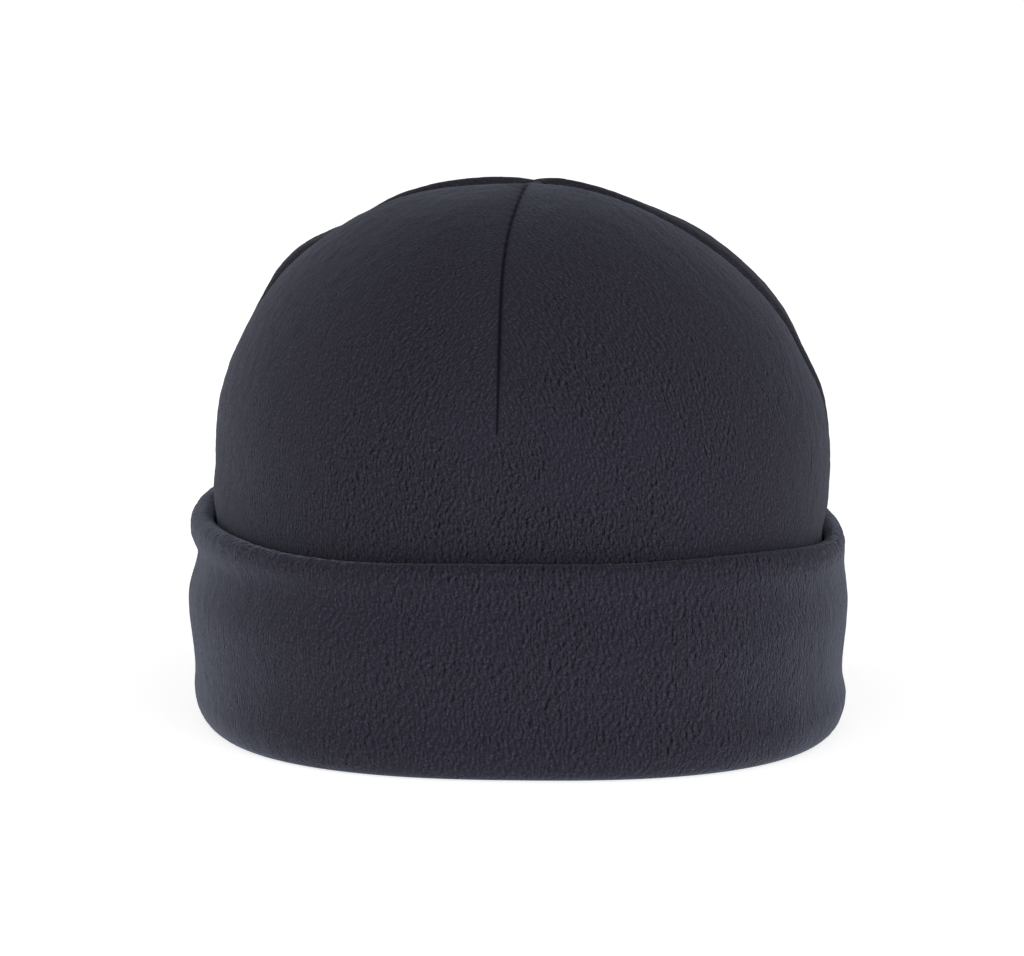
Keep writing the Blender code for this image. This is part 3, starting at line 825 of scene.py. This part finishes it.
def make_cuff():
    """The band's section swept round the hat, with its pebbles, its join behind and its flat underside."""
    azimuth = BACK + 360 * np.arange(CUFF_COLUMNS) / CUFF_COLUMNS
    base, outward = plan_outline(azimuth, WALL_POWER)
    rows = cuff_section(azimuth)
    grid = np.stack([
        base + outward * out[:, None] + np.stack([0 * out, 0 * out, height], 1) for out, height in rows
    ])
    round_it = np.roll(grid, -1, 1) - np.roll(grid, 1, 1)
    up_it = np.roll(grid, -1, 0) - np.roll(grid, 1, 0)
    facing = np.cross(round_it, up_it)
    facing /= np.linalg.norm(facing, axis=2)[..., None]
    steps = np.linalg.norm(np.diff(grid, axis=0), axis=2).mean(axis=1)
    along = np.concatenate([[0], np.cumsum(steps)])[:, None] + 0 * azimuth
    across = CUFF_EASE * girth_at(azimuth)[None] + 0 * along
    # The distance from the join also sets the painted shade along its crease.
    seam_gap = np.minimum(girth_at(azimuth), GIRTH - girth_at(azimuth))[None] + 0 * along
    crease = -0.8 * MM * np.exp(-((seam_gap / (0.7 * MM)) ** 2))
    crease -= 0.4 * MM * np.exp(-((seam_gap / (3 * MM)) ** 2))
    pile = clumps(across / PEBBLE_WIDTH, along / PEBBLE_HEIGHT, 3)
    pile += 0.6 * clumps(across / PEBBLE_WIDTH / 2.2, along / PEBBLE_HEIGHT / 1.9, 4)
    row_of = np.arange(len(rows))[:, None]
    fold_share = np.clip((row_of - FOLD_ROWS[0]) / (FOLD_ROWS[1] - FOLD_ROWS[0]), 0, 1)
    fuzzy = FOLD_FUZZ * np.sin(np.pi * fold_share) * clumps(across / (1.1 * MM), along / (1.1 * MM), 8)
    # No relief where the cuff rests or is hidden.
    resting = ease(grid[..., 2] / (2 * MM))
    shown = ((row_of > SHOWN_ROWS[0]) & (row_of < SHOWN_ROWS[1])) * resting
    pebbly = PEBBLE_RELIEF * pile * (1 - np.exp(-((seam_gap / SMOOTH_BESIDE_SEAM) ** 2)))
    relief = (pebbly + crease + fuzzy) * shown
    grid = grid + facing * relief[..., None]
    grid[..., 2] = np.maximum(grid[..., 2], 0)
    rings = list(grid) + [grid[0]]
    points, vertices, ring_of, share_of, sizes = knit(rings)
    # The last ring is the first one again.
    vertices = vertices % (len(rows) * CUFF_COLUMNS)
    points = points[:len(rows) * CUFF_COLUMNS]
    closing = np.linalg.norm(grid[0] - grid[-1], axis=1).mean()
    lengths = np.concatenate([along[:, 0], [along[-1, 0] + closing]])
    across = CUFF_EASE * GIRTH * share_of
    piece = cloth_object("cuff_band", points, vertices, sizes, across, lengths[ring_of], seam_gap.ravel(),
                         CUFF_PILLED)
    # A face is taken as part of the fold's painted shade by its place in the section, with a ragged border.
    face_of = np.repeat(np.arange(len(sizes)), sizes)
    place = np.bincount(face_of, ring_of) / sizes
    ragged = np.random.default_rng(9).uniform(-FOLD_BORDER, FOLD_BORDER, len(sizes))
    round_it = BACK + 360 * np.bincount(face_of, share_of) / sizes
    aside = np.abs(turn_between(round_it, FOLD_MIDDLE)) + FOLD_BORDER_TURN * ragged
    inside_rows = (place + ragged > FOLD_ROWS[0] + FOLD_BORDER) & (place < FOLD_ROWS[1])
    fold_in_painted_shade = inside_rows & (aside < FOLD_SHADE_SPAN)
    piece.data.polygons.foreach_set("material_index", fold_in_painted_shade.astype(np.int32))
    return piece


cuff = make_cuff()
# The same fleece, whose pile has rolled up into longer, coarser pebbles with deeper pits between them.
CUFF_PILE = {
    "pit_shade": "#040308", "pile": "#191720", "tip_and_highlight": "#363440",
    "clump": (0.80 * MM, 1.75 * MM), "density": (0.46, 1.15), "relief_depth": 0.26 * MM,
}
cuff.data.materials.append(brushed_fleece("pebbled fleece, cuff", sheen=0.33, **CUFF_PILE))
# Along the front of its top fold, the same fleece with less sheen: painted shade, so that the fold's
# top edge stays dark instead of catching the light.
cuff.data.materials.append(brushed_fleece("fleece, top fold, painted shade", sheen=0.12, **CUFF_PILE))
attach(cuff, "root")
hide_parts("cuff")

# Floor, lights and camera. The hat stands on a matt opal acrylic table that is lit softly from below, so
# that it throws hardly any shadow. Two soft lights stand at the sides, in a pale surround.

FLOOR_REACH = 40.0
floor_mesh = bpy.data.meshes.new("light_table")
corners = [(x * FLOOR_REACH, y * FLOOR_REACH, 0) for x, y in ((-1, -1), (1, -1), (1, 1), (-1, 1))]
floor_mesh.from_pydata(corners, [], [(0, 1, 2, 3)])
floor = bpy.data.objects.new("light_table", floor_mesh)
bpy.context.scene.collection.objects.link(floor)
# Opal acrylic, sanded matt and lit from below: even and white, with the faintest grain.
opal = bpy.data.materials.new("opal acrylic, sanded matt, lit from below")
opal.use_nodes = True
opal_shader = opal.node_tree.nodes["Principled BSDF"]
opal_grain = add(opal.node_tree, "ShaderNodeTexNoise", {"Scale": 400.0})
opal_tone = add(opal.node_tree, "ShaderNodeMix",
                {"Factor": opal_grain.outputs["Fac"], 6: colour("#cacaca"), 7: colour("#cecece")},
                data_type="RGBA")
opal.node_tree.links.new(opal_tone.outputs[2], opal_shader.inputs["Base Color"])
opal_shader.inputs["Roughness"].default_value = 1.0
opal_shader.inputs["Emission Color"].default_value = colour("#ffffff")
opal_shader.inputs["Emission Strength"].default_value = 0.70
opal_shader.inputs["Specular IOR Level"].default_value = 0.0
floor_mesh.materials.append(opal)


def soft_light(name, place, size, watts, tint):
    """A rectangular softbox that faces the middle of the hat."""
    lamp = bpy.data.lights.new(name, "AREA")
    lamp.shape = "RECTANGLE"
    lamp.size, lamp.size_y = size
    lamp.energy = watts
    lamp.color = colour(tint)[:3]
    held = bpy.data.objects.new(name, lamp)
    held.location = place
    held.rotation_euler = (Vector((0, 0, 0.08)) - Vector(place)).to_track_quat("-Z", "Y").to_euler()
    bpy.context.scene.collection.objects.link(held)


soft_light("left softbox", (-1.40, 0.50, 0.25), (0.8, 0.6), 9, "#f8fbff")
soft_light("right softbox", (0.95, -1.20, 0.25), (0.8, 0.6), 7, "#f8fbff")

world = bpy.data.worlds.new("pale surround")
bpy.context.scene.world = world
world.use_nodes = True
sky = world.node_tree
# Light comes through two large front windows, the right one a little stronger, and more weakly from
# behind. It fades towards the ceiling.
direction = add(sky, "ShaderNodeTexCoord", {}).outputs["Generated"]
way = add(sky, "ShaderNodeSeparateXYZ", {0: direction})
windows = []
for towards, strength in (((-0.707, -0.707, 0), 0.76), ((0.707, -0.707, 0), 0.85), ((0, 1, 0), 0.38)):
    facing = add(sky, "ShaderNodeVectorMath", {0: direction, 1: towards}, operation="DOT_PRODUCT")
    windows.append(add(sky, "ShaderNodeMapRange",
                       {"Value": facing.outputs["Value"], "From Max": 0.8, "To Max": strength},
                       interpolation_type="SMOOTHSTEP"))
in_front = add(sky, "ShaderNodeMath", {0: windows[0].outputs[0], 1: windows[1].outputs[0]})
all_round = add(sky, "ShaderNodeMath", {0: in_front.outputs[0], 1: windows[2].outputs[0]})
to_top = add(sky, "ShaderNodeMapRange",
             {"Value": way.outputs["Z"], "From Min": 0.10, "From Max": 0.80, "To Min": 1.0, "To Max": 0.50})
dim = add(sky, "ShaderNodeMath", {0: all_round.outputs[0], 1: to_top.outputs[0]}, operation="MULTIPLY")
shade = add(sky, "ShaderNodeMix", {"Factor": dim.outputs[0], 6: colour("#000000"), 7: colour("#fdfdff")},
            data_type="RGBA")
sky.links.new(shade.outputs[2], sky.nodes["Background"].inputs["Color"])
sky.nodes["Background"].inputs["Strength"].default_value = 1.86

bpy.context.scene.view_settings.view_transform = "Standard"

# The camera was fitted to the outline of the hat: a long lens about 1.3 m away and 250 mm above the
# table, tipped a little down.
PICTURE_WIDTH = 1024  # pixels
FOCAL_PIXELS = 4390
SENSOR = 36.0
camera_data = bpy.data.cameras.new("camera")
camera_data.sensor_width = SENSOR
camera_data.lens = SENSOR * FOCAL_PIXELS / PICTURE_WIDTH
camera_data.shift_x = -10 / PICTURE_WIDTH
camera_data.clip_end = 200
camera = bpy.data.objects.new("camera", camera_data)
camera.location = (0, -1.2714, 0.2533)
aim = (Vector((0, 0, 0.0685)) - camera.location).to_track_quat("-Z", "Y").to_matrix().to_4x4()
roll = Matrix.Rotation(np.radians(0.61), 4, "Z")
camera.rotation_euler = (aim @ roll).to_euler()
bpy.context.scene.collection.objects.link(camera)
bpy.context.scene.camera = camera
